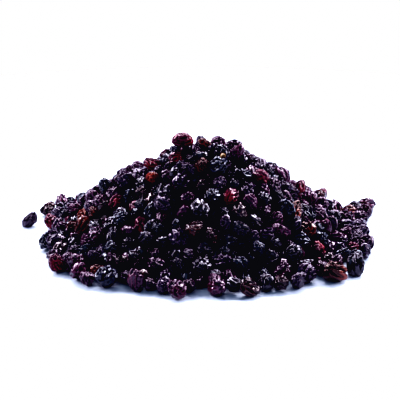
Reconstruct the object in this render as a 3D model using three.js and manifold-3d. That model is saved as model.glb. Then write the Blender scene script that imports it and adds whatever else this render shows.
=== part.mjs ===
// A heap of small black raisins as it was poured out, and the one raisin that rolled away from it.
// Millimetres, +Z up. The origin is on the table, under the middle of the heap.
//
// The heap is one solid: a mound, and the raisins that show on it, fused to it at their true size.
// They lie as a poured heap lies. Each falls on those below, rolls to the nearest hollow and stays
// there if the heap's outline has room for it.

import * as THREE from 'three';
import { mergeVertices } from 'three/addons/utils/BufferGeometryUtils.js';
import Module from 'manifold-3d';

const wasm = await Module();
wasm.setup();

// The raisins
const RAISIN_RADIUS = 4.15;
const SIZE_SPREAD = 0.34;
const LONGEST_STRETCH = 0.26;
const SIDE_SHRINK = 0.3; // of the stretch
const FLAT_SHRINK = 0.4; // of the stretch
const FLATNESS = 0.12;
const DENTS = 5;
const DENT_DEPTH = 0.2;
const DENT_EDGES = [0.35, 0.7]; // cosines of the angle from a dent's middle to its edge
const PRESS = 0.93; // raisins press into each other, so their middles come this much nearer
const FOOT_GAP = 0.2; // keeps the heap's raisins just off the table, which the mound's base meets
const FACET_SWELL = 1.08; // gives a raisin of few facets nearly the volume of the round one

// The heap's outline, for the middles of its raisins
const SUMMIT_X = 3;
const REACH_LEFT = 83;
const REACH_RIGHT = 74;
const REACH_DEPTH = 74;
const FRONT_CORNERS = 0.5; // 0 has a round foot, more has one with fuller corners
const BACK_CORNERS = 0.75;
const LOBES = 0.02; // share of the reach by which the foot's three lobes stand out
const CONE_HEIGHT = 58;
const CONE_STRAIGHTNESS = 0.9;
const SUMMIT_HEIGHT = 51;
const SKIRT_HEIGHT = 5;
const SHOULDERS = [
  { x: -48, y: 6, reach: 24, rise: 10 },
  { x: -24, y: 2, reach: 16, rise: 4 },
  { x: -66, y: 34, reach: 20, rise: 6 },
  { x: 38, y: 12, reach: 18, rise: 3 },
];

// Where raisins ran out a little beyond the foot
const SPILLS = [
  { x: -73, y: 38, reach: 10 },
  { x: 76, y: 36, reach: 10 },
  { x: -16, y: 68, reach: 12 },
  { x: 44, y: 60, reach: 13 },
];

// Raisins that stand out at the heap's foot, from the front left round to the back left, before they
// slide inwards against the heap
const FOOT_RAISINS = [
  { x: -72.1, y: -43.3, radius: 4.4 },
  { x: -61.3, y: -55.9, radius: 4.4 },
  { x: -48.2, y: -64.4, radius: 5.2 },
  { x: -34.2, y: -69.2, radius: 4.6 },
  { x: -14.8, y: -76.5, radius: 4.8 },
  { x: 2.8, y: -72.7, radius: 5.0 },
  { x: 18.3, y: -73.3, radius: 4.5 },
  { x: 34.5, y: -58.2, radius: 5.4 },
  { x: 46.7, y: -57.5, radius: 4.6 },
  { x: 59.2, y: -55.0, radius: 5.3 },
  { x: 70.9, y: -46.3, radius: 5.0 },
  { x: 77.2, y: -24.3, radius: 4.0 },
  { x: 76.9, y: -2.1, radius: 3.4 },
  { x: 78.4, y: 12.0, radius: 4.2 },
  { x: 83.4, y: 34.5, radius: 4.3 },
  { x: 87.0, y: 47.8, radius: 4.5 },
  { x: 75.1, y: 32.7, radius: 4.3 },
  { x: 69.2, y: 46.2, radius: 3.6 },
  { x: 63.4, y: 64.3, radius: 4.0 },
  { x: -78.4, y: 49.8, radius: 4.4 },
  { x: -74.7, y: 52.5, radius: 3.8 },
  { x: -71.8, y: 38.2, radius: 4.0 },
  { x: -85.6, y: 41.9, radius: 3.9 },
  { x: -78.4, y: 32.2, radius: 3.8 },
  { x: -81.4, y: 20.0, radius: 3.7 },
  { x: -76.5, y: 6.4, radius: 3.6 },
  { x: -80.9, y: -12.5, radius: 4.2 },
];
const TOP_RAISINS = [{ x: -12.5, y: 0, radius: 5.0 }];

// The raisin that lies alone on the left
const STRAY_RAISIN = { x: -92.4, y: 23.4, z: 3.9, radius: 4.1, number: 5000 };
const STRAY_SIDES = 16;
const STRAY_RINGS = 10;
const STRAY_FOLDS = 7;
const STRAY_FOLD_DEPTH = 0.07;
const STRAY_FOLD_BEND = 1.3;

// Pouring
const POUR_SEED = 56732;
const POURED = 12000;
const POUR_HALF_WIDTH = 90;
const POUR_HALF_DEPTH = 85;
const ROLL_STEP = 0.6;
const LAST_ROLL_STEP = 0.1;
const ROLL_REACH = 2.5;
const LEAST_DROP = 0.02;
const SLIDE_STEP = 0.25;
const ROLL_WAYS = [[1, 0], [0.7, 0.7], [0, 1], [-0.7, 0.7], [-1, 0], [-0.7, -0.7], [0, -1], [0.7, -0.7]];

// What shows, and the mound under it
const LOOK_WAYS = 48;
const LOOK_LOWEST = -0.1;
const COVERING_SHARE = 0.85;
const MOST_SHOWN = 256;
const MOUND_DEPTH = 1; // below the middles of the raisins around
const MOUND_LOOKS = 11; // how far around
const MOUND_RINGS = 7;
const MOUND_SIDES = 24;
const MOUND_FOOT = 0.94; // of the outline's reach

const LEAST_FUSED = 2; // cubic millimetres that a raisin shares with what it is fused to
const SINK_STEP = 0.4;

// Each raisin's own form
const SHAPE_SEED = 9173;
const SHAPE_SEED_STEP = 613;
const WARM_UP_DRAWS = 3;

// A stream of numbers from 0 to 1 that is the same each time.
function dice(seed) {
  let state = seed;
  return () => {
    state = (state * 48271) % 2147483647;
    return state / 2147483647;
  };
}

function direction(z, angle) {
  const across = Math.sqrt(1 - z * z);
  return new THREE.Vector3(across * Math.cos(angle), across * Math.sin(angle), z);
}

// How far out a place is: 0 at the summit, 1 at the heap's foot.
function wayOut(x, y) {
  const acrossWay = (x - SUMMIT_X) / (x > SUMMIT_X ? REACH_RIGHT : REACH_LEFT);
  const depthWay = y / REACH_DEPTH;
  const across = acrossWay * acrossWay;
  const depth = depthWay * depthWay;
  const round = across + depth + 1e-9;
  const corners = y > 0 ? BACK_CORNERS : FRONT_CORNERS;
  const even = Math.sqrt(round - (corners * across * depth) / round);
  const lobe = (acrossWay * (4 * across - 3 * round)) / (Math.sqrt(round) * round);
  return even / (1 + LOBES * lobe);
}

function spilled(x, y) {
  return SPILLS.some((spill) => {
    const dx = x - spill.x;
    const dy = y - spill.y;
    return dx * dx + dy * dy < spill.reach * spill.reach;
  });
}

// The highest that a raisin's middle may lie, or -1 outside the heap.
function outlineHeight(x, y) {
  const way = wayOut(x, y);
  if (way >= 1) return spilled(x, y) ? SKIRT_HEIGHT : -1;
  const share = 1 - way;
  let height = CONE_HEIGHT * share * (CONE_STRAIGHTNESS + (1 - CONE_STRAIGHTNESS) * share);
  for (const shoulder of SHOULDERS) {
    const dx = x - shoulder.x;
    const dy = y - shoulder.y;
    const fade = 1 - (dx * dx + dy * dy) / (shoulder.reach * shoulder.reach);
    if (fade > 0) height += shoulder.rise * fade;
  }
  return Math.min(SUMMIT_HEIGHT, Math.max(height, SKIRT_HEIGHT));
}

// The height at which a falling raisin meets the table or a raisin of the pile.
function restHeight(x, y, radius, pile) {
  let height = radius;
  for (const other of pile) {
    const dx = other.x - x;
    const dy = other.y - y;
    const reach = PRESS * (radius + other.radius);
    const gap = reach * reach - dx * dx - dy * dy;
    if (gap > 0) height = Math.max(height, other.z + Math.sqrt(gap));
  }
  return height;
}

// Lets a raisin roll down over the pile to the nearest hollow.
function roll(x, y, radius, pile) {
  const near = pile.filter((other) => Math.abs(other.x - x) + Math.abs(other.y - y) < 9 * radius);
  let place = { x, y, z: restHeight(x, y, radius, near) };
  let step = ROLL_STEP * radius;
  const farthest = ROLL_REACH * radius * (ROLL_REACH * radius);
  while (step > LAST_ROLL_STEP * radius) {
    let best = null;
    for (const [wayX, wayY] of ROLL_WAYS) {
      const nextX = place.x + wayX * step;
      const nextY = place.y + wayY * step;
      const nextZ = restHeight(nextX, nextY, radius, near);
      if (nextZ < place.z - LEAST_DROP && (best === null || nextZ < best.z)) {
        best = { x: nextX, y: nextY, z: nextZ };
      }
    }
    const dx = best === null ? 0 : best.x - x;
    const dy = best === null ? 0 : best.y - y;
    if (best === null || dx * dx + dy * dy > farthest) step /= 2;
    else place = best;
  }
  return place;
}

// Slides a raisin over the table towards the middle until it meets another.
function slideInwards(raisin, pile) {
  const others = pile.filter((other) => other !== raisin);
  const far = Math.sqrt(raisin.x * raisin.x + raisin.y * raisin.y);
  const stepX = (SLIDE_STEP * raisin.x) / far;
  const stepY = (SLIDE_STEP * raisin.y) / far;
  while (restHeight(raisin.x, raisin.y, raisin.radius, others) <= raisin.radius) {
    raisin.x -= stepX;
    raisin.y -= stepY;
  }
}

function pourHeap() {
  const draw = dice(POUR_SEED);
  const pile = FOOT_RAISINS.map((raisin) => ({ ...raisin, z: raisin.radius }));
  for (let poured = 0; poured < POURED; poured += 1) {
    const x = (2 * draw() - 1) * POUR_HALF_WIDTH;
    const y = (2 * draw() - 1) * POUR_HALF_DEPTH;
    const radius = RAISIN_RADIUS * (1 + SIZE_SPREAD * (draw() + draw() - 1));
    const room = outlineHeight(x, y);
    if (room < 0 || restHeight(x, y, radius, pile) > room + 2 * radius) continue;
    const place = roll(x, y, radius, pile);
    const roomThere = outlineHeight(place.x, place.y);
    if (roomThere < 0 || place.z > Math.max(roomThere, 1.001 * radius)) continue;
    pile.push({ ...place, radius });
  }
  for (let i = 0; i < FOOT_RAISINS.length; i += 1) slideInwards(pile[i], pile);
  for (const { x, y, radius } of TOP_RAISINS) {
    pile.push({ x, y, z: restHeight(x, y, radius, pile), radius });
  }
  return pile;
}

// Evenly spread directions, from just under level to straight up.
function lookWays() {
  const ways = [];
  for (let i = 0; i < LOOK_WAYS; i += 1) {
    const z = LOOK_LOWEST + ((1 - LOOK_LOWEST) * (i + 0.5)) / LOOK_WAYS;
    ways.push(direction(z, i * Math.PI * (3 - Math.sqrt(5))));
  }
  return ways;
}

// The share of directions from which a raisin isn't hidden behind another.
function shownShare(raisin, pile, ways) {
  const free = ways.filter((way) => pile.every((other) => {
    if (other === raisin) return true;
    const toOther = new THREE.Vector3(other.x - raisin.x, other.y - raisin.y, other.z - raisin.z);
    const ahead = toOther.dot(way);
    const cover = COVERING_SHARE * other.radius;
    return ahead <= 0 || toOther.lengthSq() - ahead * ahead > cover * cover;
  }));
  return free.length / ways.length;
}

// The raisins that show most, from the middle of the heap outwards.
function shownRaisins(pile) {
  const ways = lookWays();
  const raisins = pile.map((raisin, number) => {
    const open = shownShare(raisin, pile, ways);
    const far = (raisin.x - SUMMIT_X) ** 2 + raisin.y ** 2 + raisin.z ** 2;
    return { ...raisin, number, far, shows: open * raisin.radius };
  });
  return raisins
    .filter((raisin) => raisin.shows > 0)
    .sort((a, b) => b.shows - a.shows)
    .slice(0, MOST_SHOWN)
    .sort((a, b) => a.far - b.far);
}

// A raisin's own form: how it is turned, stretched and dented.
function raisinForm(number) {
  const draw = dice(SHAPE_SEED + SHAPE_SEED_STEP * number);
  for (let i = 0; i < WARM_UP_DRAWS; i += 1) draw();
  const share = draw();
  const first = 2 * Math.PI * draw();
  const second = 2 * Math.PI * draw();
  const turn = new THREE.Quaternion(
    Math.sqrt(1 - share) * Math.sin(first),
    Math.sqrt(1 - share) * Math.cos(first),
    Math.sqrt(share) * Math.sin(second),
    Math.sqrt(share) * Math.cos(second),
  );
  const stretch = LONGEST_STRETCH * draw();
  const flatness = draw();
  const axes = new THREE.Vector3(
    1 + stretch,
    1 - SIDE_SHRINK * stretch,
    1 - FLAT_SHRINK * stretch - FLATNESS * flatness,
  );
  const dents = [];
  for (let i = 0; i < DENTS; i += 1) {
    const way = direction(2 * draw() - 1, 2 * Math.PI * draw());
    const edge = THREE.MathUtils.lerp(...DENT_EDGES, draw());
    dents.push({ way, edge, depth: DENT_DEPTH * draw() });
  }
  return { turn, axes, dents };
}

// How far a dented raisin's skin is from its middle, as a share of the round raisin's radius.
function dentedReach(way, dents) {
  let reach = 1;
  for (const dent of dents) {
    const into = Math.max(0, (way.dot(dent.way) - dent.edge) / (1 - dent.edge));
    reach *= 1 - dent.depth * into * into * (3 - 2 * into);
  }
  return reach;
}

// The folds of a wrinkled skin, which run from end to end and bend on the way.
function foldedReach(way) {
  const angle = Math.atan2(way.y, way.z) + STRAY_FOLD_BEND * way.x;
  const fold = Math.cos(STRAY_FOLDS * angle) * (1 - way.x * way.x);
  return 1 + STRAY_FOLD_DEPTH * fold;
}

// A raisin as a closed surface: a ball of facets, dented, stretched, turned and put in place.
function raisinGeometry(ball, raisin, lowest, reachOf) {
  const form = raisinForm(raisin.number);
  const middle = new THREE.Vector3(raisin.x, raisin.y, raisin.z);
  const geometry = ball.clone();
  const points = geometry.getAttribute('position');
  const point = new THREE.Vector3();
  for (let i = 0; i < points.count; i += 1) {
    point.fromBufferAttribute(points, i);
    const reach = raisin.radius * reachOf(point) * dentedReach(point, form.dents);
    point.multiplyScalar(reach).multiply(form.axes).applyQuaternion(form.turn).add(middle);
    points.setXYZ(i, point.x, point.y, Math.max(point.z, lowest));
  }
  return geometry;
}

// Merges a surface's shared corners, so that it is closed.
function weld(geometry) {
  geometry.deleteAttribute('normal');
  geometry.deleteAttribute('uv');
  return mergeVertices(geometry);
}

// How high the raisins around a place lie.
function heightAround(x, y, raisins) {
  const near = raisins.filter((raisin) => (
    (raisin.x - x) ** 2 + (raisin.y - y) ** 2 < MOUND_LOOKS * MOUND_LOOKS
  ));
  if (near.length === 0) return RAISIN_RADIUS;
  return near.reduce((sum, raisin) => sum + raisin.z, 0) / near.length;
}

// The mound that carries the raisins, with a flat base on the table.
function moundGeometry(raisins) {
  const corners = [];
  const addCorner = (x, y, z) => corners.push(x, y, z) / 3 - 1;
  const rim = (angle, share) => {
    const unit = wayOut(SUMMIT_X + Math.cos(angle), Math.sin(angle));
    const distance = (share * MOUND_FOOT) / unit;
    return [SUMMIT_X + distance * Math.cos(angle), distance * Math.sin(angle)];
  };
  const loops = [];
  for (let ring = 1; ring <= MOUND_RINGS; ring += 1) {
    const loop = [];
    for (let side = 0; side < MOUND_SIDES; side += 1) {
      const [x, y] = rim((2 * Math.PI * (side + 0.5)) / MOUND_SIDES, ring / MOUND_RINGS);
      const height = ring === MOUND_RINGS ? 0 : heightAround(x, y, raisins) - MOUND_DEPTH;
      loop.push(addCorner(x, y, height));
    }
    loops.push(loop);
  }
  const top = addCorner(SUMMIT_X, 0, heightAround(SUMMIT_X, 0, raisins) - MOUND_DEPTH);
  const bottom = addCorner(SUMMIT_X, 0, 0);
  const faces = [];
  for (let side = 0; side < MOUND_SIDES; side += 1) {
    const next = (side + 1) % MOUND_SIDES;
    faces.push(top, loops[0][side], loops[0][next]);
    for (let ring = 1; ring < MOUND_RINGS; ring += 1) {
      const [inner, outer] = [loops[ring - 1], loops[ring]];
      faces.push(inner[side], outer[side], outer[next], inner[side], outer[next], inner[next]);
    }
    const foot = loops[MOUND_RINGS - 1];
    faces.push(bottom, foot[next], foot[side]);
  }
  const geometry = new THREE.BufferGeometry();
  geometry.setAttribute('position', new THREE.Float32BufferAttribute(corners, 3));
  geometry.setIndex(faces);
  return geometry;
}

function toSolid(geometry) {
  return new wasm.Manifold(new wasm.Mesh({
    numProp: 3,
    vertProperties: new Float32Array(geometry.getAttribute('position').array),
    triVerts: new Uint32Array(geometry.getIndex().array),
  }));
}

function toGeometry(solid) {
  const mesh = solid.getMesh();
  const geometry = new THREE.BufferGeometry();
  geometry.setAttribute('position', new THREE.Float32BufferAttribute(mesh.vertProperties, 3));
  geometry.setIndex(Array.from(mesh.triVerts));
  geometry.computeVertexNormals();
  return geometry;
}

// Joins a raisin to the heap, a little further in where it wouldn't hold.
function fuse(heap, raisin, ball) {
  const facetedSolid = (place) => (
    toSolid(raisinGeometry(ball, place, FOOT_GAP, () => FACET_SWELL))
  );
  let place = raisin;
  let solid = facetedSolid(place);
  while (heap.intersect(solid).volume() < LEAST_FUSED) {
    const nearer = 1 - SINK_STEP / Math.sqrt(raisin.far);
    place = { ...place, x: SUMMIT_X + (place.x - SUMMIT_X) * nearer, y: place.y * nearer };
    place.z = Math.max(place.radius, place.z * nearer);
    solid = facetedSolid(place);
  }
  return heap.add(solid);
}

// The mound and its raisins in one closed body, with the hollows between them filled.
function heapGeometry() {
  const ball = weld(new THREE.IcosahedronGeometry(1, 0));
  const raisins = shownRaisins(pourHeap());
  let heap = toSolid(moundGeometry(raisins));
  for (const raisin of raisins) heap = fuse(heap, raisin, ball);
  const bodies = heap.decompose();
  bodies.sort((a, b) => b.volume() - a.volume());
  return toGeometry(bodies[0]);
}

function strayGeometry() {
  const ball = weld(new THREE.SphereGeometry(1, STRAY_SIDES, STRAY_RINGS));
  const geometry = raisinGeometry(ball, STRAY_RAISIN, 0, foldedReach);
  geometry.computeVertexNormals();
  return geometry;
}

function addPiece(group, name, geometry, material) {
  const mesh = new THREE.Mesh(geometry, material);
  mesh.name = name;
  group.add(mesh);
}

const blackSkin = new THREE.MeshStandardMaterial({ color: 0x1c1422, roughness: 0.38, metalness: 0 });
const raisins = new THREE.Group();
addPiece(raisins, 'raisin_heap', heapGeometry(), blackSkin);
addPiece(raisins, 'stray_raisin', strayGeometry(), blackSkin);

export default raisins;
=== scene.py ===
# A heap of small black raisins as it was poured out, and the one raisin that rolled away from it.
# Metres, +Z up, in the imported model's frame. The heap is poured here in millimetres, just as it was
# for the model, so each raisin lies where its solid is. Each then wears one of a stock of skins that
# have grown too large for their flesh and wrinkled.

import math
from typing import NamedTuple

import bpy
import numpy as np
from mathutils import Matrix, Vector


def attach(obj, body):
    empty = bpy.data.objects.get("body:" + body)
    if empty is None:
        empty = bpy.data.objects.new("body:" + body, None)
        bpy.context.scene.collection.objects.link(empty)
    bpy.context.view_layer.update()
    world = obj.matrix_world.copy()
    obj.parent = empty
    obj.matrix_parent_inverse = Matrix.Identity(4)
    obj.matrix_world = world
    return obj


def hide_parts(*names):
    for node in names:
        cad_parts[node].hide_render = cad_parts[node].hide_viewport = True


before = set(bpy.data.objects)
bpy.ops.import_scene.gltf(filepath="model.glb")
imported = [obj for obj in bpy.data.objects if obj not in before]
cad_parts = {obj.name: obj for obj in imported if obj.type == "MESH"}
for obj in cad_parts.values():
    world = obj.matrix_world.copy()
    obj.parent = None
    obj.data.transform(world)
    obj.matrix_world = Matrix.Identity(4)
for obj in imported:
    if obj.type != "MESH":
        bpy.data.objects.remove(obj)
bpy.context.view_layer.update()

MM = 0.001
TINY = 1e-9  # keeps a sum from being divided by nothing

# The raisins, in millimetres, as in the model
RAISIN_RADIUS = 4.15
SIZE_SPREAD = 0.34
LONGEST_STRETCH = 0.26
SIDE_SHRINK = 0.3
FLAT_SHRINK = 0.4
FLATNESS = 0.12
DENTS = 5
DENT_DEPTH = 0.2
DENT_EDGES = (0.35, 0.7)
PRESS = 0.93

# The heap's outline, for the middles of its raisins
SUMMIT_X = 3
REACH_LEFT = 83
REACH_RIGHT = 74
REACH_DEPTH = 74
FRONT_CORNERS = 0.5
BACK_CORNERS = 0.75
LOBES = 0.02
CONE_HEIGHT = 58
CONE_STRAIGHTNESS = 0.9
SUMMIT_HEIGHT = 51
SKIRT_HEIGHT = 5
SHOULDERS = [(-48, 6, 24, 10), (-24, 2, 16, 4), (-66, 34, 20, 6), (38, 12, 18, 3)]  # x, y, reach, rise
SPILLS = [(-73, 38, 10), (76, 36, 10), (-16, 68, 12), (44, 60, 13)]  # x, y, reach

# Raisins that stand out at the heap's foot, before they slide inwards: x, y, radius
FOOT_RAISINS = [
    (-72.1, -43.3, 4.4),
    (-61.3, -55.9, 4.4),
    (-48.2, -64.4, 5.2),
    (-34.2, -69.2, 4.6),
    (-14.8, -76.5, 4.8),
    (2.8, -72.7, 5.0),
    (18.3, -73.3, 4.5),
    (34.5, -58.2, 5.4),
    (46.7, -57.5, 4.6),
    (59.2, -55.0, 5.3),
    (70.9, -46.3, 5.0),
    (77.2, -24.3, 4.0),
    (76.9, -2.1, 3.4),
    (78.4, 12.0, 4.2),
    (83.4, 34.5, 4.3),
    (87.0, 47.8, 4.5),
    (75.1, 32.7, 4.3),
    (69.2, 46.2, 3.6),
    (63.4, 64.3, 4.0),
    (-78.4, 49.8, 4.4),
    (-74.7, 52.5, 3.8),
    (-71.8, 38.2, 4.0),
    (-85.6, 41.9, 3.9),
    (-78.4, 32.2, 3.8),
    (-81.4, 20.0, 3.7),
    (-76.5, 6.4, 3.6),
    (-80.9, -12.5, 4.2),
]
TOP_RAISINS = [(-12.5, 0, 5.0)]

# Single raisins: one that fills the gap under the topmost one, the stray one and a small unripe one
TUCKED_RAISIN = (-10.4, 3.4, 46.6, 3.2)
STRAY_PLACE = (-92.4, 23.4, 3.9)
STRAY_RADIUS = 4.1
STRAY_NUMBER = 5000
UNRIPE_PLACE = (7.2, -13.8, 48.9)
UNRIPE_RADIUS = 1.7
UNRIPE_NUMBER = 6000

# The dice: a whole number is multiplied, and what is left of it after a division is drawn
DICE_FACTOR = 48271
DICE_DIVISOR = 2147483647

# Pouring
POUR_SEED = 56732
POURED = 12000
POUR_HALF_WIDTH = 90
POUR_HALF_DEPTH = 85
ROLL_STEP = 0.6
LAST_ROLL_STEP = 0.1
ROLL_REACH = 2.5
NEAR_REACH = 9
LEAST_DROP = 0.02
ON_TABLE = 1.001  # a raisin whose middle is no more than this many radii up lies on the table
SLIDE_STEP = 0.25
ROLL_WAYS = np.array([
    (1, 0), (0.7, 0.7), (0, 1), (-0.7, 0.7), (-1, 0), (-0.7, -0.7), (0, -1), (0.7, -0.7),
])

# What shows of the heap
LOOK_WAYS = 48
LOOK_LOWEST = -0.1
COVERING_SHARE = 0.85
LEAST_LOOKS = 3  # raisins that show in fewer directions are left out
MOST_FINE = 300  # raisins that show most, which get every corner of their skin
FRONT_FAVOUR = 1.5  # for those on the heap's front, which are seen from nearest
FRONT_EDGE = 12

# Each raisin's own form
SHAPE_SEED = 9173
SHAPE_SEED_STEP = 613
WARM_UP_DRAWS = 3

# Kinds of raisin, each with its share of the heap
KIND_SHARES = {
    "ink_black": 0.20,
    "blue_black": 0.15,
    "brown_black": 0.09,
    "violet_black": 0.20,
    "dark_plum": 0.19,
    "plum": 0.145,
    "wine_red": 0.02,
    "amber_red": 0.005,
    "rust_red": 0,  # only among those that catch the eye
}
# The middle of the heap's front, which faces away from the lights: more of its raisins are of the first
# and darkest kinds, which paints its shade
SHADED_FRONT_X = 7
SHADED_FRONT_Y = -45
SHADED_FRONT_REACH = 30
DARK_ANYWHERE = 0.8
PAINTED_SHADE_THERE = 1.6

# Raisins that catch the eye: their place, their kind and the side with the paler patch, which is partly
# stain and partly a painted glow of light through the flesh
ACCENTS = [
    ((-12, 0, 53), "wine_red", (1, -0.5, -0.1)),
    ((-27, -9, 36), "rust_red", (-0.3, -1, 0.3)),
    ((-56, -9, 18), "amber_red", (0.2, -1, 0.2)),
    ((-45, -13, 25), "wine_red", (0, -1, 0.3)),
    ((-28, 8, 38), "wine_red", (-0.2, -1, 0.3)),
    ((-16, -3, 45), "wine_red", (0.3, -1, 0.4)),
    ((12, -27, 32), "wine_red", (-0.5, -1, 0.2)),
    ((26, -12, 37), "wine_red", (0.2, -1, 0)),
    ((-1, 2, 50), "amber_red", (-0.2, -1, 0.2)),
    ((42, -18, 22), "amber_red", (0.1, -1, 0.2)),
    ((48, -30, 16), "amber_red", (0.3, -1, 0.1)),
    ((73, 32, 4), "amber_red", (0.2, -1, 0)),
    ((59, -55, 5), "amber_red", (1, -0.6, 0)),
    ((-6, -43, 22), "brown_black", (0, -1, 0.3)),
    ((1, -46, 18), "brown_black", (1, -0.6, -0.2)),
    ((-72, -43, 4), "wine_red", (0.1, -1, 0)),
    ((-60, -55, 4), "plum", (0, -1, 0.4)),
    ((-52, -54, 4), "amber_red", (-0.3, -1, 0.2)),
    ((-34, -68, 5), "plum", (-0.4, -1, 0.3)),
    ((3, -72, 5), "plum", (-0.6, -1, 0)),
    ((-61, -11, 12), "amber_red", (0, -1, 0.5)),
    ((-31, -30, 18), "wine_red", (0, -1, 0)),
    ((-81, 20, 4), "wine_red", (0, -1, 0)),
    ((-78, 50, 4), "plum", (0, -1, 0)),
    ((68, 38, 4), "plum", (0, -1, 0)),
    ((84, 46, 4), "plum", (0, -1, 0)),
    ((-54, -29, 13), "plum", (0, -1, 0)),
    ((34, -38, 19), "plum", (0, -1, 0)),
    ((-15, -76, 5), "plum", (0, -1, 0)),
    ((34, -58, 5), "dark_plum", (0, -1, 0)),
    ((18, -73, 4), "brown_black", (0, -1, 0)),
    ((-47, -62, 5), "blue_black", (0, -1, 0)),
    ((-81, -12, 4), "blue_black", (0, -1, 0)),
    ((15, -58, 9), "blue_black", (0, -1, 0)),
    ((24, -58, 4), "blue_black", (0, -1, 0)),
    ((46, -57, 5), "violet_black", (0, -1, 0)),
    ((70, -46, 5), "ink_black", (0, -1, 0)),
]

# The paler patch on a raisin's side, partly stain and partly a painted glow of light through the flesh,
# as cosines of the angle from its middle
SPOT_AND_GLOW_EDGE = 0.35
SPOT_AND_GLOW_FADE = 0.55

# The skins, for a raisin of radius 1
SKINS = 24
SKIN_SEED = 41
SKIN_CELLS = 14  # along each of the six patches of a skin
CORNER_DECIMALS = 6  # to which corners of two patches agree where they meet
SIDES = 4  # of a quad, and the most quads that meet at a corner
SKIN_SIZE = 0.95
LONG_WAY = np.array([1, 0.45, 0.3]) / math.sqrt(1 + 0.45**2 + 0.3**2)
FOLDS = (8.5, 13.0)  # round a raisin
FOLD_SCALE = 0.06  # height of a strong fold
FOLD_SMOOTHING = 8
FOLD_BLUR = 0.5  # share of the corners beside it that each smoothing mixes in
ROUND_GROWTH = (0.62, 0.74)
LONG_GROWTH = (0.26, 0.44)
PATCHINESS = 0.45
PATCH_LIMITS = (0.3, 1.9)
PATCH_WAVES = 6
PATCH_PITCH = 2.2
FLESH_HOLD = (0.05, 0.12)
FLESH_TETHER = (0.05, 0.15)
FLESH_DENTS = 0.19
FLESH_WAVES = 4
FLESH_PITCH = 2.4
START_ROUGHNESS = 0.012
LEAST_LENGTH = 1e-6  # of a thread
GROW_STEPS = 240
GROWING_SHARE = 0.5  # of the steps, and in the others the skin settles
GROW_STEP = 0.12
KEPT_SPEED = 0.92

# Where raisins touch
TOUCH_REACH = 1.35
TOUCH_GAP = 0.05
SQUEEZE = 0.15  # over which a skin bends into the plane where it meets the next raisin

# The dark core under the raisins that show, as dark as the darkest raisins and painted shade in the
# gaps between them
CORE_DEPTH = 7
CORE_LOOKS = 9
CORE_UPPER_RAISINS = 6
CORE_RINGS = 16
CORE_SIDES = 48
CORE_FOOT = 0.86
CORE_RIM = 0.2

# Paint. Sizes are in millimetres. The folds and tones are where a mask starts to rise and where it
# is full.
MAP_MARGIN = 0.06
MOTTLE = (2.6, 3)  # a noise is its size and its detail
GRAIN = (0.7, 2)
WRINKLES = (1.9, 1)
NOISE_MIDDLE = 0.5
WRINKLE_WIDTH = 0.10
WRINKLE_HEIGHT = 0.15
WRINKLE_STRENGTH = 0.3
# Painted shade in the folds' valleys: the fold heights where it starts and where it is full, and how
# much of it is mixed in
VALLEY_SHADE_FOLDS = (0.15, -0.4)
VALLEY_SHADE_SHARE = 0.85
# The crests, which get a paler colour that is a dusty bloom and a painted highlight: where it starts
# and where it is full
CREST_FOLDS = (0.3, 0.85)
LIT_BY_MOTTLE = 0.7
LIT_BY_TONE = 0.5
LIT_TONES = (0.35, 0.85)
# A paler reddish patch, partly stain and partly a painted glow of light through the flesh
STAIN_AND_GLOW_BY_SPOT = 0.8
STAIN_AND_GLOW_BY_MOTTLE = 0.9
STAIN_AND_GLOW_TONES = (0.78, 1.2)
HALF = 0.5  # share of each of two patterns that count alike
# Where on the crests the dust and the painted highlight lie
DUST_AND_HIGHLIGHT_TONES = (0.46, 0.66)
SKIN_ROUGHNESS = 0.10
SKIN_SPECULAR = 0.38
GRAIN_ROUGHNESS = 0.10
DUST_ROUGHNESS = 0.08
CORE_BLOTS = (4, 3)
# Near-black: the darkest raisins' colour, and painted shade deep in the heap's gaps
CORE_SHADE_COLOURS = ((0.001, 0.001, 0.001), (0.008, 0.003, 0.007))
CORE_ROUGHNESS = 0.6
FLOOR_BLOTS = (60, 3)
FLOOR_COLOURS = ((0.59, 0.69, 0.80), (0.60, 0.70, 0.81))
FLOOR_ROUGHNESS = 0.7

# The stage, in metres. A light is its width, its height and its brightness.
FLOOR_REACH = 0.4
FLOOR_SIDES = 96
WHITE = (1, 1, 1)
HEAP_MIDDLE = (0, 0, 0.02)
KEY_COLOUR = (0.90, 0.83, 1.0)
FILL_COLOUR = (0.50, 0.72, 1.0)
WORLD_LIGHT = 0.2
ARC_LIGHTS = 7
ARC_HALF = math.radians(84)
ARC_RISE = math.radians(50)
ARC_DROP = math.radians(20)
ARC_DISTANCE = 0.8
ARC_LIGHT = (0.3, 0.06, 118)
OVERHEAD_LIGHT = (0.8, 0.6, 1.2)
OVERHEAD_PLACE = (0, 0.3, 1.3)
FRONT_LIGHT = (0.7, 0.5, 1.8)
FRONT_PLACE = (-0.1, -0.7, 0.8)
CAMERA_TARGET = Vector((-0.004, 0, 0.022))
CAMERA_DISTANCE = 0.7
CAMERA_RISE = math.radians(18)
LENS = 126
SENSOR = 36

# The view's tones
BLACK_LEVEL = (0.017, 0.020, 0.018)
DARKEST = (0.0027, 0.0027, 0.004)
MIDDLE_TONES = [
    (0.05, (0.035, 0.030, 0.036)),
    (0.15, (0.12, 0.114, 0.12)),
    (0.4, (0.385, 0.385, 0.385)),
]


def dice(seed):
    """A stream of numbers from 0 to 1 that is the same each time."""
    state = seed
    while True:
        state = state * DICE_FACTOR % DICE_DIVISOR
        yield state / DICE_DIVISOR


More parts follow.
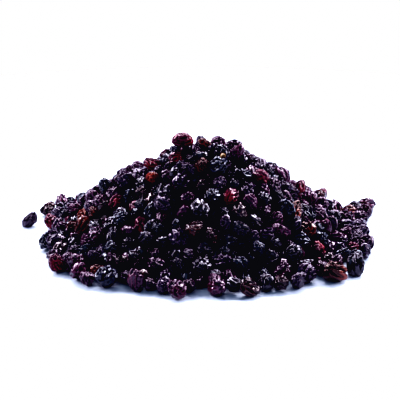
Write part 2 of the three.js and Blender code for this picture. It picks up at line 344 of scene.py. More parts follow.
def way_out(x, y):
    """How far out a place is: 0 at the summit, 1 at the heap's foot."""
    across_way = (x - SUMMIT_X) / (REACH_RIGHT if x > SUMMIT_X else REACH_LEFT)
    depth_way = y / REACH_DEPTH
    across = across_way * across_way
    depth = depth_way * depth_way
    round_way = across + depth + TINY
    corners = BACK_CORNERS if y > 0 else FRONT_CORNERS
    even = math.sqrt(round_way - (corners * across * depth) / round_way)
    # The cosine of three times the angle round the heap
    lobe = (across_way * (4 * across - 3 * round_way)) / (math.sqrt(round_way) * round_way)
    return even / (1 + LOBES * lobe)


def spilled(x, y):
    return any((x - at_x) ** 2 + (y - at_y) ** 2 < reach * reach for at_x, at_y, reach in SPILLS)


def outline_height(x, y):
    """The highest that a raisin's middle may lie, or -1 outside the heap."""
    way = way_out(x, y)
    if way >= 1:
        return SKIRT_HEIGHT if spilled(x, y) else -1
    share = 1 - way
    height = CONE_HEIGHT * share * (CONE_STRAIGHTNESS + (1 - CONE_STRAIGHTNESS) * share)
    for shoulder_x, shoulder_y, reach, rise in SHOULDERS:
        dx = x - shoulder_x
        dy = y - shoulder_y
        fade = 1 - (dx * dx + dy * dy) / (reach * reach)
        if fade > 0:
            height += rise * fade
    return min(SUMMIT_HEIGHT, max(height, SKIRT_HEIGHT))


def rest_heights(x, y, radius, pile):
    """The heights at which a raisin that falls at each place meets the table or the pile."""
    dx = pile[:, 0] - np.atleast_1d(x)[:, None]
    dy = pile[:, 1] - np.atleast_1d(y)[:, None]
    reach = PRESS * (radius + pile[:, 3])
    gap = reach * reach - dx * dx - dy * dy
    met = np.where(gap > 0, pile[:, 2] + np.sqrt(np.maximum(gap, 0)), radius)
    return np.maximum(met.max(1, initial=radius), radius)


def roll(x, y, radius, pile):
    """Lets a raisin roll down over the pile to the nearest hollow."""
    near = pile[np.abs(pile[:, 0] - x) + np.abs(pile[:, 1] - y) < NEAR_REACH * radius]
    place = (x, y, rest_heights(x, y, radius, near)[0])
    step = ROLL_STEP * radius
    farthest = ROLL_REACH * radius * (ROLL_REACH * radius)
    while step > LAST_ROLL_STEP * radius:
        next_x = place[0] + ROLL_WAYS[:, 0] * step
        next_y = place[1] + ROLL_WAYS[:, 1] * step
        heights = rest_heights(next_x, next_y, radius, near)
        best = int(np.argmin(heights))
        dx = next_x[best] - x
        dy = next_y[best] - y
        if heights[best] >= place[2] - LEAST_DROP or dx * dx + dy * dy > farthest:
            step /= 2
        else:
            place = (next_x[best], next_y[best], heights[best])
    return place


def slide_inwards(number, pile):
    """Slides a raisin over the table towards the middle until it meets another."""
    others = np.delete(pile, number, axis=0)
    x, y, _, radius = pile[number]
    far = math.sqrt(x * x + y * y)
    step_x = (SLIDE_STEP * x) / far
    step_y = (SLIDE_STEP * y) / far
    while rest_heights(x, y, radius, others)[0] <= radius:
        x -= step_x
        y -= step_y
    pile[number, :2] = x, y


def pour_heap():
    """The raisins of the heap, one on each row: x, y, z and radius."""
    draw = dice(POUR_SEED)
    pile = np.zeros((POURED, 4))
    count = len(FOOT_RAISINS)
    pile[:count] = [(x, y, radius, radius) for x, y, radius in FOOT_RAISINS]
    for _ in range(POURED):
        x = (2 * next(draw) - 1) * POUR_HALF_WIDTH
        y = (2 * next(draw) - 1) * POUR_HALF_DEPTH
        radius = RAISIN_RADIUS * (1 + SIZE_SPREAD * (next(draw) + next(draw) - 1))
        room = outline_height(x, y)
        if room < 0 or rest_heights(x, y, radius, pile[:count])[0] > room + 2 * radius:
            continue
        place = roll(x, y, radius, pile[:count])
        room_there = outline_height(place[0], place[1])
        if room_there < 0 or place[2] > max(room_there, ON_TABLE * radius):
            continue
        pile[count] = (*place, radius)
        count += 1
    for number in range(len(FOOT_RAISINS)):
        slide_inwards(number, pile[:count])
    for x, y, radius in TOP_RAISINS:
        pile[count] = (x, y, rest_heights(x, y, radius, pile[:count])[0], radius)
        count += 1
    return pile[:count]


def look_ways():
    """Even directions from just under level to straight up, each a golden angle round from the last."""
    order = np.arange(LOOK_WAYS)
    z = LOOK_LOWEST + (1 - LOOK_LOWEST) * (order + 0.5) / LOOK_WAYS
    angle = order * math.pi * (3 - math.sqrt(5))
    across = np.sqrt(1 - z * z)
    return np.stack([across * np.cos(angle), across * np.sin(angle), z], 1)


def shown_shares(pile):
    """For each raisin, the share of directions from which no other one hides it."""
    ways = look_ways()
    shares = np.zeros(len(pile))
    for number, raisin in enumerate(pile):
        to_other = np.delete(pile, number, axis=0)
        cover = COVERING_SHARE * to_other[:, 3]
        to_other = to_other[:, :3] - raisin[:3]
        ahead = to_other @ ways.T
        aside = (to_other**2).sum(1)[:, None] - ahead**2
        hidden = (ahead > 0) & (aside <= (cover**2)[:, None])
        shares[number] = 1 - hidden.any(0).mean()
    return shares


class Form:
    """A raisin's own form: how it is turned, stretched and dented, then its own spare draws."""

    def __init__(self, number):
        self.draw = dice(SHAPE_SEED + SHAPE_SEED_STEP * int(number))
        for _ in range(WARM_UP_DRAWS):
            next(self.draw)
        self.turn = self.drawn_turn()
        stretch = LONGEST_STRETCH * next(self.draw)
        flatness = next(self.draw)
        self.axes = np.array([
            1 + stretch,
            1 - SIDE_SHRINK * stretch,
            1 - FLAT_SHRINK * stretch - FLATNESS * flatness,
        ])
        self.dents = [self.drawn_dent() for _ in range(DENTS)]

    def drawn_turn(self):
        share = next(self.draw)
        first = 2 * math.pi * next(self.draw)
        second = 2 * math.pi * next(self.draw)
        x = math.sqrt(1 - share) * math.sin(first)
        y = math.sqrt(1 - share) * math.cos(first)
        z = math.sqrt(share) * math.sin(second)
        w = math.sqrt(share) * math.cos(second)
        return np.array([
            (1 - 2 * (y * y + z * z), 2 * (x * y - z * w), 2 * (x * z + y * w)),
            (2 * (x * y + z * w), 1 - 2 * (x * x + z * z), 2 * (y * z - x * w)),
            (2 * (x * z - y * w), 2 * (y * z + x * w), 1 - 2 * (x * x + y * y)),
        ])

    def drawn_dent(self):
        z = 2 * next(self.draw) - 1
        angle = 2 * math.pi * next(self.draw)
        across = math.sqrt(1 - z * z)
        way = np.array([across * math.cos(angle), across * math.sin(angle), z])
        edge = DENT_EDGES[0] + (DENT_EDGES[1] - DENT_EDGES[0]) * next(self.draw)
        return way, edge, DENT_DEPTH * next(self.draw)

    def dented_reach(self, ways):
        """How far the dented skin is from the middle, as a share of the round raisin's radius."""
        reach = np.ones(len(ways))
        for way, edge, depth in self.dents:
            into = np.maximum(0, (ways @ way - edge) / (1 - edge))
            reach *= 1 - depth * into * into * (3 - 2 * into)
        return reach


class Ball:
    """A ball of radius 1 made of six square patches, each with its grid of corners."""

    PATCHES = [
        ((1, 0, 0), (0, 1, 0), (0, 0, 1)),
        ((-1, 0, 0), (0, 0, 1), (0, 1, 0)),
        ((0, 1, 0), (0, 0, 1), (1, 0, 0)),
        ((0, -1, 0), (1, 0, 0), (0, 0, 1)),
        ((0, 0, 1), (1, 0, 0), (0, 1, 0)),
        ((0, 0, -1), (0, 1, 0), (1, 0, 0)),
    ]  # outwards, and along the two sides
    PATCHES_ROUND = 4  # of the six, in a belt round the ball
    MAP_COLUMNS = 3
    MAP_ROWS = 2

    def __init__(self, cells):
        self.cells = cells
        ticks = np.tan(np.linspace(-math.pi / 4, math.pi / 4, cells + 1))
        across, up = (side[..., None] for side in np.meshgrid(ticks, ticks))
        grids = [out + across * right + up * top for out, right, top in np.array(self.PATCHES)]
        points = np.array(grids).reshape(-1, 3)
        points /= np.linalg.norm(points, axis=1, keepdims=True)
        rounded = np.round(points, CORNER_DECIMALS) + 0.0
        _, first, which = np.unique(rounded, axis=0, return_index=True, return_inverse=True)
        self.corners = points[first]
        self.grid = which.reshape(len(self.PATCHES), cells + 1, cells + 1)
        self.quads = np.stack([
            self.grid[:, :-1, :-1],
            self.grid[:, :-1, 1:],
            self.grid[:, 1:, 1:],
            self.grid[:, 1:, :-1],
        ], axis=-1).reshape(-1, SIDES)

    def map_places(self, margin):
        """Where each quad's corners lie in a square that holds the six patches, three by two."""
        shape = (len(self.PATCHES), self.cells, self.cells)
        patch, row, column = np.indices(shape).reshape(len(shape), -1, 1)
        column = column + np.array([0, 1, 1, 0])
        row = row + np.array([0, 0, 1, 1])
        inside = 1 - 2 * margin
        u = (patch % self.MAP_COLUMNS + margin + inside * column / self.cells) / self.MAP_COLUMNS
        v = (patch // self.MAP_COLUMNS + margin + inside * row / self.cells) / self.MAP_ROWS
        return np.stack([u, v], -1)

    def neighbours(self):
        """Each corner's neighbours along sides and across quads, both filled up with itself."""
        beside = [set() for _ in self.corners]
        across = [set() for _ in self.corners]
        for quad in self.quads.tolist():
            for i in range(SIDES):
                beside[quad[i]].update((quad[i - 1], quad[(i + 1) % SIDES]))
                across[quad[i]].add(quad[i - 2])
        sides, diagonals = (
            np.array([sorted(near) + [i] * (SIDES - len(near)) for i, near in enumerate(nearby)])
            for nearby in (beside, across)
        )
        return sides, diagonals


def soft_noise(points, random, rows, waves, pitch):
    """Smooth noise made of plane waves, a different one for each row."""
    total = np.zeros((rows, len(points)))
    for _ in range(waves):
        way = random.normal(size=(rows, 3))
        way *= pitch / np.linalg.norm(way, axis=1, keepdims=True)
        total += np.sin(points @ way.T + random.uniform(0, 2 * math.pi, rows)).T
    return total / math.sqrt(waves)


class Growth:
    """Skins that are fixed to a shrunken flesh and too large for it, so that they buckle into folds."""

    def __init__(self, ball):
        random = np.random.default_rng(SKIN_SEED)
        self.sides, diagonals = ball.neighbours()
        self.near = np.concatenate([self.sides, diagonals], 1)
        lengths = np.linalg.norm(ball.corners[self.near] - ball.corners[:, None], axis=2)
        density = random.uniform(size=SKINS)  # from crisp long folds to dense short ones
        self.wanted = self.grown_lengths(ball, lengths, density, random)
        self.hold = self.between(FLESH_HOLD, density)
        self.tether = self.between(FLESH_TETHER, density)
        pitch = 2 * math.pi * random.uniform(*FOLDS, SKINS)[:, None, None]
        cells_round = ball.PATCHES_ROUND * ball.cells
        self.bend = (self.hold * (2 * cells_round / pitch) ** 4).astype(np.float32)
        dents = soft_noise(ball.corners, random, SKINS, FLESH_WAVES, FLESH_PITCH)
        self.flesh = 1 + FLESH_DENTS * dents[..., None].astype(np.float32)
        self.lengths = lengths.astype(np.float32)
        self.held = (self.lengths > TINY)[..., None].astype(np.float32)
        self.spare = (SIDES - self.held[:, :SIDES].sum(1)).astype(np.float32)
        self.start = ball.corners.astype(np.float32)
        self.round_curl = self.curl(self.start[None])
        rough = random.normal(size=(SKINS, len(self.start), 1)).astype(np.float32)
        self.place = self.start * (1 + START_ROUGHNESS * rough)

    @staticmethod
    def between(ends, share):
        """The value that far on its way between two ends, one for each skin."""
        return (ends[0] + (ends[1] - ends[0]) * share)[:, None, None].astype(np.float32)

    def grown_lengths(self, ball, lengths, density, random):
        """The lengths that the skin's threads grow to. They grow most round the raisin's long way."""
        corners = ball.corners
        round_ways = np.cross(LONG_WAY, corners[self.near] + corners[:, None])
        round_ways /= np.linalg.norm(round_ways, axis=2, keepdims=True) + TINY
        threads = corners[self.near] - corners[:, None]
        share = ((threads * round_ways).sum(2) / np.maximum(lengths, TINY)) ** 2
        patchy = 1 + PATCHINESS * soft_noise(corners, random, SKINS, PATCH_WAVES, PATCH_PITCH)
        patchy = np.clip(patchy, *PATCH_LIMITS)
        patchy = (patchy[:, self.near] + patchy[:, :, None]) / 2
        round_growth = self.between(ROUND_GROWTH, density)
        long_growth = self.between(LONG_GROWTH, density)
        grown = lengths * (1 + patchy * (round_growth * share + long_growth * (1 - share)))
        return grown.astype(np.float32)

    def curl(self, values):
        """How far each corner stands from the middle of the corners beside it."""
        beside = values[:, self.sides].sum(2) - self.spare * values
        return beside / (SIDES - self.spare) - values

    def thread_pull(self, share):
        """The pull of the threads, which have grown by that share."""
        goal = self.lengths + (self.wanted - self.lengths) * share
        thread = self.place[:, self.near] - self.place[:, :, None]
        length = np.sqrt((thread * thread).sum(3)) + LEAST_LENGTH
        return (thread * ((length - goal) / length)[..., None] * self.held).sum(2)

    def flesh_pull(self):
        """The pull of the flesh, inwards and back over the ground that a corner has strayed."""
        far = np.sqrt((self.place * self.place).sum(2, keepdims=True))
        outwards = self.place / far
        strayed = self.start * far - self.place
        along = strayed - (strayed * outwards).sum(2, keepdims=True) * outwards
        return self.tether * along - self.hold * (far - self.flesh) * outwards

    def grown(self):
        """The skins once they have come to rest, with a mean radius of 1."""
        speed = np.zeros_like(self.place)
        for step in range(GROW_STEPS):
            share = np.float32(min(1.0, (step + 1) / (GROWING_SHARE * GROW_STEPS)))
            bent = self.bend * self.curl(self.curl(self.place) - self.round_curl)
            force = self.thread_pull(share) - bent + self.flesh_pull()
            speed = KEPT_SPEED * speed + GROW_STEP * force
            self.place = self.place + speed
        return self.place / np.linalg.norm(self.place, axis=2).mean(1)[:, None, None]


def lengthways(skins):
    """Turns the skins so that their long way is x."""
    side = np.cross((0, 0, 1), LONG_WAY)
    side /= np.linalg.norm(side)
    turn = np.array([LONG_WAY, side, np.cross(LONG_WAY, side)])
    return skins @ turn.T


def fold_heights(skins, sides):
    """How high each place stands over the skin around it: 1 on a strong fold, -1 deep down between
    folds.
    """
    far = np.linalg.norm(skins, axis=2)
    around = far
    for _ in range(FOLD_SMOOTHING):
        around = (1 - FOLD_BLUR) * around + FOLD_BLUR / SIDES * around[:, sides].sum(2)
    return np.clip((far - around) / FOLD_SCALE, -1, 1)


def pressed(points, raisin, others):
    """Presses a raisin's skin flat where it meets its neighbours and the table."""
    for other in others:
        to_other = other[:3] - raisin[:3]
        distance = np.linalg.norm(to_other)
        way = to_other / distance
        plane = (distance**2 + raisin[3] ** 2 - other[3] ** 2) / (2 * distance) - TOUCH_GAP
        past = (points - raisin[:3]) @ way - plane
        points = points + (soft_least(past) - past)[:, None] * way
    points[:, 2] = -soft_least(-points[:, 2])
    return points


def soft_least(values):
    """The lesser of each value and 0, with a soft bend between."""
    return -SQUEEZE * np.logaddexp(0, -values / SQUEEZE)


class SkinStock:
    """The grown skins that the raisins wear, at two levels of detail."""

    def __init__(self):
        fine = Ball(SKIN_CELLS)
        growth = Growth(fine)
        skins = growth.grown()
        self.folds = fold_heights(skins, growth.sides)
        self.skins = lengthways(skins * SKIN_SIZE)
        coarse = Ball(SKIN_CELLS // 2)
        kept = np.zeros(len(coarse.corners), int)
        kept[coarse.grid] = fine.grid[:, ::2, ::2]
        self.fine = (fine, np.arange(len(fine.corners)))
        self.coarse = (coarse, kept)

    def worn(self, form):
        """The skin and fold heights that a raisin wears: one of the skins, spun round its long way."""
        number = int(next(form.draw) * SKINS)
        angle = 2 * math.pi * next(form.draw)
        end = 1 if next(form.draw) < 0.5 else -1
        cosine, sine = math.cos(angle), math.sin(angle)
        turn = np.array([(end, 0, 0), (0, end * cosine, -sine), (0, end * sine, cosine)])
        return self.skins[number] @ turn.T, self.folds[number]


class Raisin:
    """A raisin's wrinkled surface and what its paint needs to know of it."""

    def __init__(self, number, place, others, stock, kind=None, spot_and_glow_way=None):
        self.form = Form(number)
        skin, self.folds = stock.worn(self.form)
        far = np.linalg.norm(skin, axis=1, keepdims=True)
        reach = self.form.dented_reach(skin / far)[:, None]
        points = skin * reach * place[3] * self.form.axes @ self.form.turn.T
        self.tone = next(self.form.draw)
        self.kind = kind or self.drawn_kind(place)
        # The side with the paler patch, which is partly a painted glow of light through the flesh
        if spot_and_glow_way is None:
            spot_and_glow_way = self.drawn_way()
        spot_and_glow_way = np.array(spot_and_glow_way) / np.linalg.norm(spot_and_glow_way)
        out = points / np.linalg.norm(points, axis=1, keepdims=True)
        self.spots_and_glow = np.clip((out @ spot_and_glow_way - SPOT_AND_GLOW_EDGE) / SPOT_AND_GLOW_FADE, 0, 1)
        self.points = pressed(points + place[:3], place, others)

    def drawn_kind(self, place):
        """A kind, more often one of the first and darkest in the middle of the heap's front, which
        faces away from the lights: the kinds are real colours, and massing the darkest there is painted
        shade.
        """
        away = ((place[0] - SHADED_FRONT_X) / SHADED_FRONT_REACH) ** 2 + ((place[1] - SHADED_FRONT_Y) / SHADED_FRONT_REACH) ** 2
        # Nearer the front's middle the draw leans to the darkest kinds, as painted shade
        chance = next(self.form.draw) ** (DARK_ANYWHERE + PAINTED_SHADE_THERE * math.exp(-away))
        for kind, share in KIND_SHARES.items():
            chance -= share
            if chance < 0:
                return kind
        return "ink_black"

    def drawn_way(self):
        z = 2 * next(self.form.draw) - 1
        angle = 2 * math.pi * next(self.form.draw)
        across = math.sqrt(1 - z * z)
        return across * math.cos(angle), across * math.sin(angle), z


def neighbours_of(number, pile):
    """The raisins that may touch this one."""
    place = pile[number]
    distance = np.linalg.norm(pile[:, :3] - place[:3], axis=1)
    touching = distance < TOUCH_REACH * (place[3] + pile[:, 3])
    touching[number] = False
    return pile[touching]


def heap_raisins(pile, stock):
    """The raisins that show, those that show most first."""
    shares = shown_shares(pile)
    favour = np.where(pile[:, 1] < FRONT_EDGE, FRONT_FAVOUR, 1)
    shown = np.flatnonzero(shares > (LEAST_LOOKS - 0.5) / LOOK_WAYS)
    order = shown[np.argsort(-(shares * pile[:, 3] * favour)[shown])]
    accents = {}
    for place, kind, spot_and_glow_way in ACCENTS:
        number = int(np.argmin(np.linalg.norm(pile[:, :3] - place, axis=1)))
        accents[number] = (kind, spot_and_glow_way)
    return [
        Raisin(number, pile[number], neighbours_of(number, pile), stock, *accents.get(number, ()))
        for number in order
    ]


class Surface:
    """Raisins of one kind joined into one mesh."""

    def __init__(self):
        self.points = []
        self.quads = []
        self.maps = []
        self.values = {"fold": [], "tone": [], "spot_and_glow": []}
        self.count = 0

    def add(self, raisin, level):
        """Adds a raisin with every corner of its skin, or with those that the coarser ball keeps."""
        level_ball, kept = level
        self.quads.append(level_ball.quads + self.count)
        self.points.append(raisin.points[kept])
        self.maps.append(level_ball.map_places(MAP_MARGIN))
        self.values["fold"].append(raisin.folds[kept])
        # Where the paler patch lies, partly a painted glow of light through the flesh
        self.values["spot_and_glow"].append(raisin.spots_and_glow[kept])
        self.values["tone"].append(np.full(len(kept), raisin.tone))
        self.count += len(kept)

    def placed_maps(self):
        """Each raisin's part of the surface map, in its own square."""
        side = math.ceil(math.sqrt(len(self.maps)))
        placed = []
        for number, places in enumerate(self.maps):
            corner = np.array([number % side, number // side])
            placed.append((places + corner) / side)
        return np.concatenate(placed)

    def mesh_object(self, name, material):
        mesh = bpy.data.meshes.new(name)
        points = np.concatenate(self.points) * MM
        quads = np.concatenate(self.quads)
        mesh.vertices.add(len(points))
        mesh.vertices.foreach_set("co", points.astype(np.float32).ravel())
        mesh.loops.add(quads.size)
        mesh.loops.foreach_set("vertex_index", quads.astype(np.int32).ravel())
        mesh.polygons.add(len(quads))
        mesh.polygons.foreach_set("loop_start", np.arange(0, quads.size, SIDES, dtype=np.int32))
        mesh.update(calc_edges=True)
        mesh.shade_smooth()
        for value_name, values in self.values.items():
            layer = mesh.attributes.new(value_name, "FLOAT", "POINT")
            layer.data.foreach_set("value", np.concatenate(values).astype(np.float32))
        layer = mesh.uv_layers.new(name="OFBake")
        layer.data.foreach_set("uv", self.placed_maps().astype(np.float32).ravel())
        mesh.validate()
        made = bpy.data.objects.new(name, mesh)
        bpy.context.scene.collection.objects.link(made)
        mesh.materials.append(material)
        return made


class Value:
    """A shader socket that can be added, subtracted and multiplied like a number."""

    def __init__(self, paint, socket):
        self.paint = paint
        self.socket = socket

    def __add__(self, other):
        return self.paint.sum("ADD", self, other)

    def __sub__(self, other):
        return self.paint.sum("SUBTRACT", self, other)

    def __mul__(self, other):
        return self.paint.sum("MULTIPLY", self, other)

    def __rsub__(self, other):
        return self.paint.sum("SUBTRACT", other, self)

    def __abs__(self):
        return self.paint.sum("ABSOLUTE", self, 0)

    __radd__ = __add__
    __rmul__ = __mul__


# Where a Mix node has its factor, its two colours and their mixture
MIX_FACTOR = 0
MIX_FIRST = 6
MIX_SECOND = 7
MIX_RESULT = 2


class Paint:
    """The shader of a material or of the world, written as sums."""

    def __init__(self, painted):
        self.painted = painted
        self.painted.use_nodes = True
        self.tree = self.painted.node_tree
        self.tree.nodes.clear()

    def node(self, kind, settings=(), inputs=(), output=0):
        """Adds a node, sets it, feeds its sockets and returns one of its results."""
        made = self.tree.nodes.new(kind)
        for name, setting in dict(settings).items():
            setattr(made, name, setting)
        for socket, value in dict(inputs).items():
            if isinstance(value, Value):
                self.tree.links.new(value.socket, made.inputs[socket])
            else:
                made.inputs[socket].default_value = value
        return Value(self, made.outputs[output]) if made.outputs else made

    def sum(self, operation, first, second):
        return self.node("ShaderNodeMath", {"operation": operation}, {0: first, 1: second})

    def step(self, value, low, high):
        """0 below low, 1 above high and a smooth rise between."""
        ranges = {0: value, 1: low, 2: high}
        return self.node("ShaderNodeMapRange", {"interpolation_type": "SMOOTHSTEP"}, ranges)

    def mix(self, factor, first, second):
        inputs = {MIX_FACTOR: factor, MIX_FIRST: first, MIX_SECOND: second}
        return self.node("ShaderNodeMix", {"data_type": "RGBA"}, inputs, MIX_RESULT)

    def attribute(self, name):
        return self.node("ShaderNodeAttribute", {"attribute_name": name}, output="Fac")

    def place(self):
        return self.node("ShaderNodeTexCoord", output="Object")

    def noise(self, size, detail):
        """Smooth noise whose blots are about that many millimetres apart."""
        inputs = {"Vector": self.place(), "Scale": 1 / (size * MM), "Detail": detail}
        return self.node("ShaderNodeTexNoise", inputs=inputs)

    def finish(self, **inputs):
        shader = self.node("ShaderNodeBsdfPrincipled", inputs=inputs)
        self.node("ShaderNodeOutputMaterial", inputs={"Surface": shader})
        return self.painted


class SkinLook(NamedTuple):
    """The colours of one kind of raisin: painted shade for its valleys, its skin and lit patches, dust
    with a painted highlight for its crests, a paler patch that is partly stain and partly a painted
    glow of light through the flesh, and the tint of its reflections; then how much of it has the
    crests' paler colour and the paler patch.
    """

    # painted shade for the bottoms of the folds
    valley_shade: tuple
    skin: tuple
    lit: tuple
    # paler colour of the crests: a dusty bloom and a painted highlight
    bloom_and_highlight: tuple
    # paler reddish patch: partly stain, partly a painted glow of light shining through the flesh
    spot_and_glow: tuple
    sheen: tuple
    # shares of the crests' dust and painted highlight, and of the paler patch with its painted glow
    bloom_and_highlight_share: float = 0.5
    spot_and_glow_share: float = 0.0


# Each kind's first colour is painted shade for its valleys, its fourth is dust with a painted highlight
# for its crests, and its fifth is a paler patch that is partly a painted glow of light through the
# flesh
LOOKS = {
    "ink_black": SkinLook((0.0003, 0.0003, 0.0004), (0.001, 0.001, 0.0015), (0.003, 0.002, 0.004),
                          (0.05, 0.04, 0.06), (0.01, 0.004, 0.004), (0.88, 0.88, 1.0)),
    "brown_black": SkinLook((0.0003, 0.0002, 0.0003), (0.003, 0.001, 0.0015), (0.010, 0.003, 0.005),
                            (0.08, 0.045, 0.05), (0.06, 0.010, 0.005), (1.0, 0.84, 0.84), spot_and_glow_share=0.4),
    "blue_black": SkinLook((0.0003, 0.0003, 0.001), (0.001, 0.0014, 0.003), (0.002, 0.003, 0.008),
                           (0.04, 0.045, 0.075), (0.01, 0.01, 0.02), (0.76, 0.87, 1.0)),
    "violet_black": SkinLook((0.0004, 0.0002, 0.0008), (0.0025, 0.0009, 0.0032), (0.009, 0.0022, 0.011),
                             (0.07, 0.045, 0.09), (0.02, 0.005, 0.02), (0.93, 0.80, 1.0)),
    "dark_plum": SkinLook((0.0006, 0.0002, 0.0006), (0.005, 0.0009, 0.0036), (0.016, 0.0034, 0.011),
                          (0.09, 0.05, 0.085), (0.05, 0.006, 0.015), (1.0, 0.74, 0.95), spot_and_glow_share=0.3),
    "plum": SkinLook((0.0008, 0.0002, 0.0007), (0.008, 0.0015, 0.006), (0.031, 0.005, 0.019),
                     (0.12, 0.06, 0.10), (0.08, 0.01, 0.02), (1.0, 0.66, 0.89), spot_and_glow_share=0.4),
    "wine_red": SkinLook((0.0010, 0.0002, 0.0004), (0.012, 0.0010, 0.0040), (0.048, 0.0036, 0.014),
                         (0.18, 0.07, 0.10), (0.16, 0.005, 0.012), (1.0, 0.44, 0.54), spot_and_glow_share=0.8),
    "amber_red": SkinLook((0.0010, 0.0003, 0.0003), (0.008, 0.0014, 0.0020), (0.032, 0.0052, 0.006),
                          (0.16, 0.08, 0.07), (0.14, 0.019, 0.008), (1.0, 0.58, 0.48), spot_and_glow_share=0.8),
    "rust_red": SkinLook((0.002, 0.0004, 0.0004), (0.030, 0.004, 0.004), (0.11, 0.014, 0.009),
                         (0.25, 0.12, 0.09), (0.34, 0.045, 0.02), (1.0, 0.62, 0.50), spot_and_glow_share=0.9),
    "golden": SkinLook((0.02, 0.008, 0.001), (0.10, 0.045, 0.006), (0.30, 0.15, 0.02),
                       (0.45, 0.28, 0.09), (0.5, 0.3, 0.05), (1.0, 0.90, 0.6), bloom_and_highlight_share=0.3),
}


def opaque(colour):
    return (*colour, 1)


def skin_colour(paint, look, mottle, dust_and_highlight):
    """Dark skin with lit patches and a paler patch that is partly stain and partly a painted glow of
    light through the flesh, with painted shade darkening its valleys and its crests greyer with dust
    and a painted highlight.
    """
    toned = mottle * LIT_BY_MOTTLE + paint.attribute("tone") * LIT_BY_TONE
    colour = paint.mix(paint.step(toned, *LIT_TONES), opaque(look.skin), opaque(look.lit))
    # A paler reddish patch on one side: partly the skin's own stain, partly a painted glow of light
    # shining through the flesh
    stain_and_glow = paint.attribute("spot_and_glow") * STAIN_AND_GLOW_BY_SPOT + mottle * STAIN_AND_GLOW_BY_MOTTLE
    stain_and_glow = paint.step(stain_and_glow, *STAIN_AND_GLOW_TONES) * look.spot_and_glow_share
    colour = paint.mix(stain_and_glow, colour, opaque(look.spot_and_glow))
    # Painted shade: the valleys of the folds are darkened
    valley_shade = paint.step(paint.attribute("fold"), *VALLEY_SHADE_FOLDS) * VALLEY_SHADE_SHARE
    colour = paint.mix(valley_shade, colour, opaque(look.valley_shade))
    # The crests are made paler: a dusty bloom and a painted highlight
    return paint.mix(dust_and_highlight, colour, opaque(look.bloom_and_highlight))


def skin_material(name, look):
    """Waxy wrinkled skin whose fold crests are paler with dust and a painted highlight."""
    paint = Paint(bpy.data.materials.new(name))
    mottle = paint.noise(*MOTTLE)
    grain = paint.noise(*GRAIN)
    wrinkle = paint.step(abs(paint.noise(*WRINKLES) - NOISE_MIDDLE), WRINKLE_WIDTH, 0)
    crest = paint.step(paint.attribute("fold"), *CREST_FOLDS)
    # Crest mask for a dusty bloom and a painted highlight where the folds stand highest
    dust_and_highlight = crest * paint.step(grain * HALF + mottle * HALF, *DUST_AND_HIGHLIGHT_TONES) * look.bloom_and_highlight_share
    rougher = (grain - NOISE_MIDDLE) * GRAIN_ROUGHNESS + dust_and_highlight * DUST_ROUGHNESS
    pits = paint.node("ShaderNodeBump", inputs={
        "Strength": WRINKLE_STRENGTH,
        "Distance": WRINKLE_HEIGHT * MM,
        "Height": wrinkle * HALF + grain * HALF,
    })
    return paint.finish(**{
        "Base Color": skin_colour(paint, look, mottle, dust_and_highlight),
        "Roughness": rougher + SKIN_ROUGHNESS,
        "Normal": pits,
        "Specular IOR Level": SKIN_SPECULAR,
        "Specular Tint": opaque(look.sheen),
    })


def blotched(name, blots, colours, roughness):
    """A plain matt surface that wavers between two colours."""
    paint = Paint(bpy.data.materials.new(name))
    colour = paint.mix(paint.noise(*blots), opaque(colours[0]), opaque(colours[1]))
    return paint.finish(**{"Base Color": colour, "Roughness": roughness})


def place_raisins(surface, name, kind, node):
    """Makes the object for a surface and hands it over in place of a solid."""
    made = surface.mesh_object(name, skin_material(name + "_skin", LOOKS[kind]))
    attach(made, "root")
    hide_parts(node)


def build_heap(pile, stock):
    surfaces = {kind: Surface() for kind in KIND_SHARES}
    for order, raisin in enumerate(heap_raisins(pile, stock)):
        surfaces[raisin.kind].add(raisin, stock.fine if order < MOST_FINE else stock.coarse)
    for kind, surface in surfaces.items():
        place_raisins(surface, kind + "_raisins", kind, "raisin_heap")


def build_single(name, kind, number, place, radius, node, stock):
    """One raisin that is a piece of its own."""
    surface = Surface()
    surface.add(Raisin(number, np.array([*place, radius]), [], stock, kind), stock.fine)
    place_raisins(surface, name, kind, node)


def height_around(x, y, pile):
    """How high the heap's core may reach under the upper raisins round a place."""
    near = pile[(pile[:, 0] - x) ** 2 + (pile[:, 1] - y) ** 2 < CORE_LOOKS**2]
    if len(near) == 0:
        return CORE_RIM
    highest = np.sort(near[:, 2])[-CORE_UPPER_RAISINS:]
    return CORE_RIM + max(0, highest.mean() - CORE_DEPTH)


def core_corners(pile):
    """The core's corners: its top, then rings of them out to its rim on the table."""
    corners = [(SUMMIT_X, 0, height_around(SUMMIT_X, 0, pile))]
    for ring in range(1, CORE_RINGS + 1):
        for side in range(CORE_SIDES):
            angle = 2 * math.pi * side / CORE_SIDES
            across, deep = math.cos(angle), math.sin(angle)
            distance = CORE_FOOT * ring / CORE_RINGS / way_out(SUMMIT_X + across, deep)
            x = SUMMIT_X + distance * across
            y = distance * deep
            corners.append((x, y, CORE_RIM if ring == CORE_RINGS else height_around(x, y, pile)))
    return corners


def core_faces():
    faces = []
    for side in range(CORE_SIDES):
        beside = (side + 1) % CORE_SIDES
        faces.append((0, 1 + side, 1 + beside))
        for ring in range(CORE_RINGS - 1):
            inner = 1 + ring * CORE_SIDES
            outer = inner + CORE_SIDES
            faces.append((inner + side, outer + side, outer + beside, inner + beside))
    rim = 1 + (CORE_RINGS - 1) * CORE_SIDES
    faces.append(tuple(rim + side for side in reversed(range(CORE_SIDES))))
    return faces


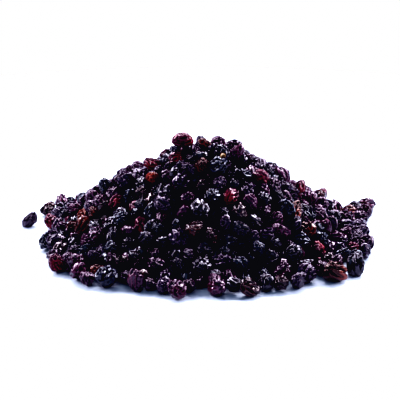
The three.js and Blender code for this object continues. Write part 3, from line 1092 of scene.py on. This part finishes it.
def build_core(pile):
    """The dark inside of the heap, which closes the gaps between the raisins that show. It is as dark
    as the darkest raisins, and its near-black is painted shade deep in the gaps.
    """
    mesh = bpy.data.meshes.new("heap_core")
    mesh.from_pydata([Vector(corner) * MM for corner in core_corners(pile)], [], core_faces())
    mesh.shade_smooth()
    made = bpy.data.objects.new("heap_core", mesh)
    bpy.context.scene.collection.objects.link(made)
    mesh.materials.append(blotched("heap_core_painted_shade", CORE_BLOTS, CORE_SHADE_COLOURS, CORE_ROUGHNESS))
    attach(made, "root")
    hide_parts("raisin_heap")


def aim(thing, target):
    """Turns a light or camera towards a point."""
    way = Vector(target) - thing.location
    thing.rotation_euler = way.to_track_quat("-Z", "Y").to_euler()


def softbox(name, place, width, height, brightness, colour):
    """A rectangular light of that brightness, where 1 is white, aimed at the heap."""
    light = bpy.data.lights.new(name, "AREA")
    light.shape = "RECTANGLE"
    light.size = width
    light.size_y = height
    light.energy = brightness * math.pi * width * height
    light.color = colour
    made = bpy.data.objects.new(name, light)
    made.location = place
    aim(made, HEAP_MIDDLE)
    bpy.context.scene.collection.objects.link(made)


def build_floor():
    """A round white table top that ends where the lights no longer make it white."""
    mesh = bpy.data.meshes.new("floor")
    turns = [2 * math.pi * side / FLOOR_SIDES for side in range(FLOOR_SIDES)]
    corners = [(FLOOR_REACH * math.cos(turn), FLOOR_REACH * math.sin(turn), 0) for turn in turns]
    mesh.from_pydata(corners, [], [range(FLOOR_SIDES)])
    floor = bpy.data.objects.new("floor", mesh)
    bpy.context.scene.collection.objects.link(floor)
    mesh.materials.append(blotched("white_table", FLOOR_BLOTS, FLOOR_COLOURS, FLOOR_ROUGHNESS))


def build_world():
    """A white surround to the camera, which lights the heap only faintly."""
    world = bpy.data.worlds.new("studio")
    bpy.context.scene.world = world
    paint = Paint(world)
    seen = paint.node("ShaderNodeLightPath", output="Is Camera Ray")
    surround = paint.node("ShaderNodeBackground", inputs={
        "Color": paint.mix(seen, opaque(FILL_COLOUR), opaque(WHITE)),
        "Strength": seen * (1 - WORLD_LIGHT) + WORLD_LIGHT,
    })
    paint.node("ShaderNodeOutputWorld", inputs={"Surface": surround})


def build_camera():
    camera = bpy.data.objects.new("camera", bpy.data.cameras.new("camera"))
    camera.data.lens = LENS
    camera.data.sensor_width = SENSOR
    back = Vector((0, -math.cos(CAMERA_RISE), math.sin(CAMERA_RISE)))
    camera.location = CAMERA_TARGET + CAMERA_DISTANCE * back
    aim(camera, CAMERA_TARGET)
    bpy.context.scene.collection.objects.link(camera)
    bpy.context.scene.camera = camera


def build_lights():
    """Strip lights in an arc round the heap's sides and back, a large one above, a fill in front."""
    for number in range(ARC_LIGHTS):
        turn = ARC_HALF * (2 * number / (ARC_LIGHTS - 1) - 1)
        rise = ARC_RISE - ARC_DROP * abs(turn / ARC_HALF)
        level = ARC_DISTANCE * math.cos(rise)
        place = (level * math.sin(turn), level * math.cos(turn), ARC_DISTANCE * math.sin(rise))
        softbox(f"strip_light_{number + 1}", place, *ARC_LIGHT, KEY_COLOUR)
    softbox("overhead_light", OVERHEAD_PLACE, *OVERHEAD_LIGHT, KEY_COLOUR)
    softbox("front_fill", FRONT_PLACE, *FRONT_LIGHT, FILL_COLOUR)


def set_view():
    """Deep blacks with a faint blue cast and steep middle tones, like the photograph's."""
    view = bpy.context.scene.view_settings
    view.view_transform = "Standard"
    view.use_curve_mapping = True
    view.curve_mapping.black_level = BLACK_LEVEL
    view.curve_mapping.extend = "HORIZONTAL"
    for channel in range(3):
        curve = view.curve_mapping.curves[channel]
        curve.points[0].location = (0, DARKEST[channel])
        for tone, shown in MIDDLE_TONES:
            curve.points.new(tone, shown[channel])
    view.curve_mapping.update()


build_camera()
build_lights()
build_floor()
build_world()
set_view()

heap_pile = pour_heap()
skin_stock = SkinStock()
build_heap(np.vstack([heap_pile, TUCKED_RAISIN]), skin_stock)
build_core(heap_pile)
build_single("rolled_away_raisin", "violet_black", STRAY_NUMBER, STRAY_PLACE, STRAY_RADIUS,
             "stray_raisin", skin_stock)
build_single("unripe_raisin", "golden", UNRIPE_NUMBER, UNRIPE_PLACE, UNRIPE_RADIUS,
             "raisin_heap", skin_stock)
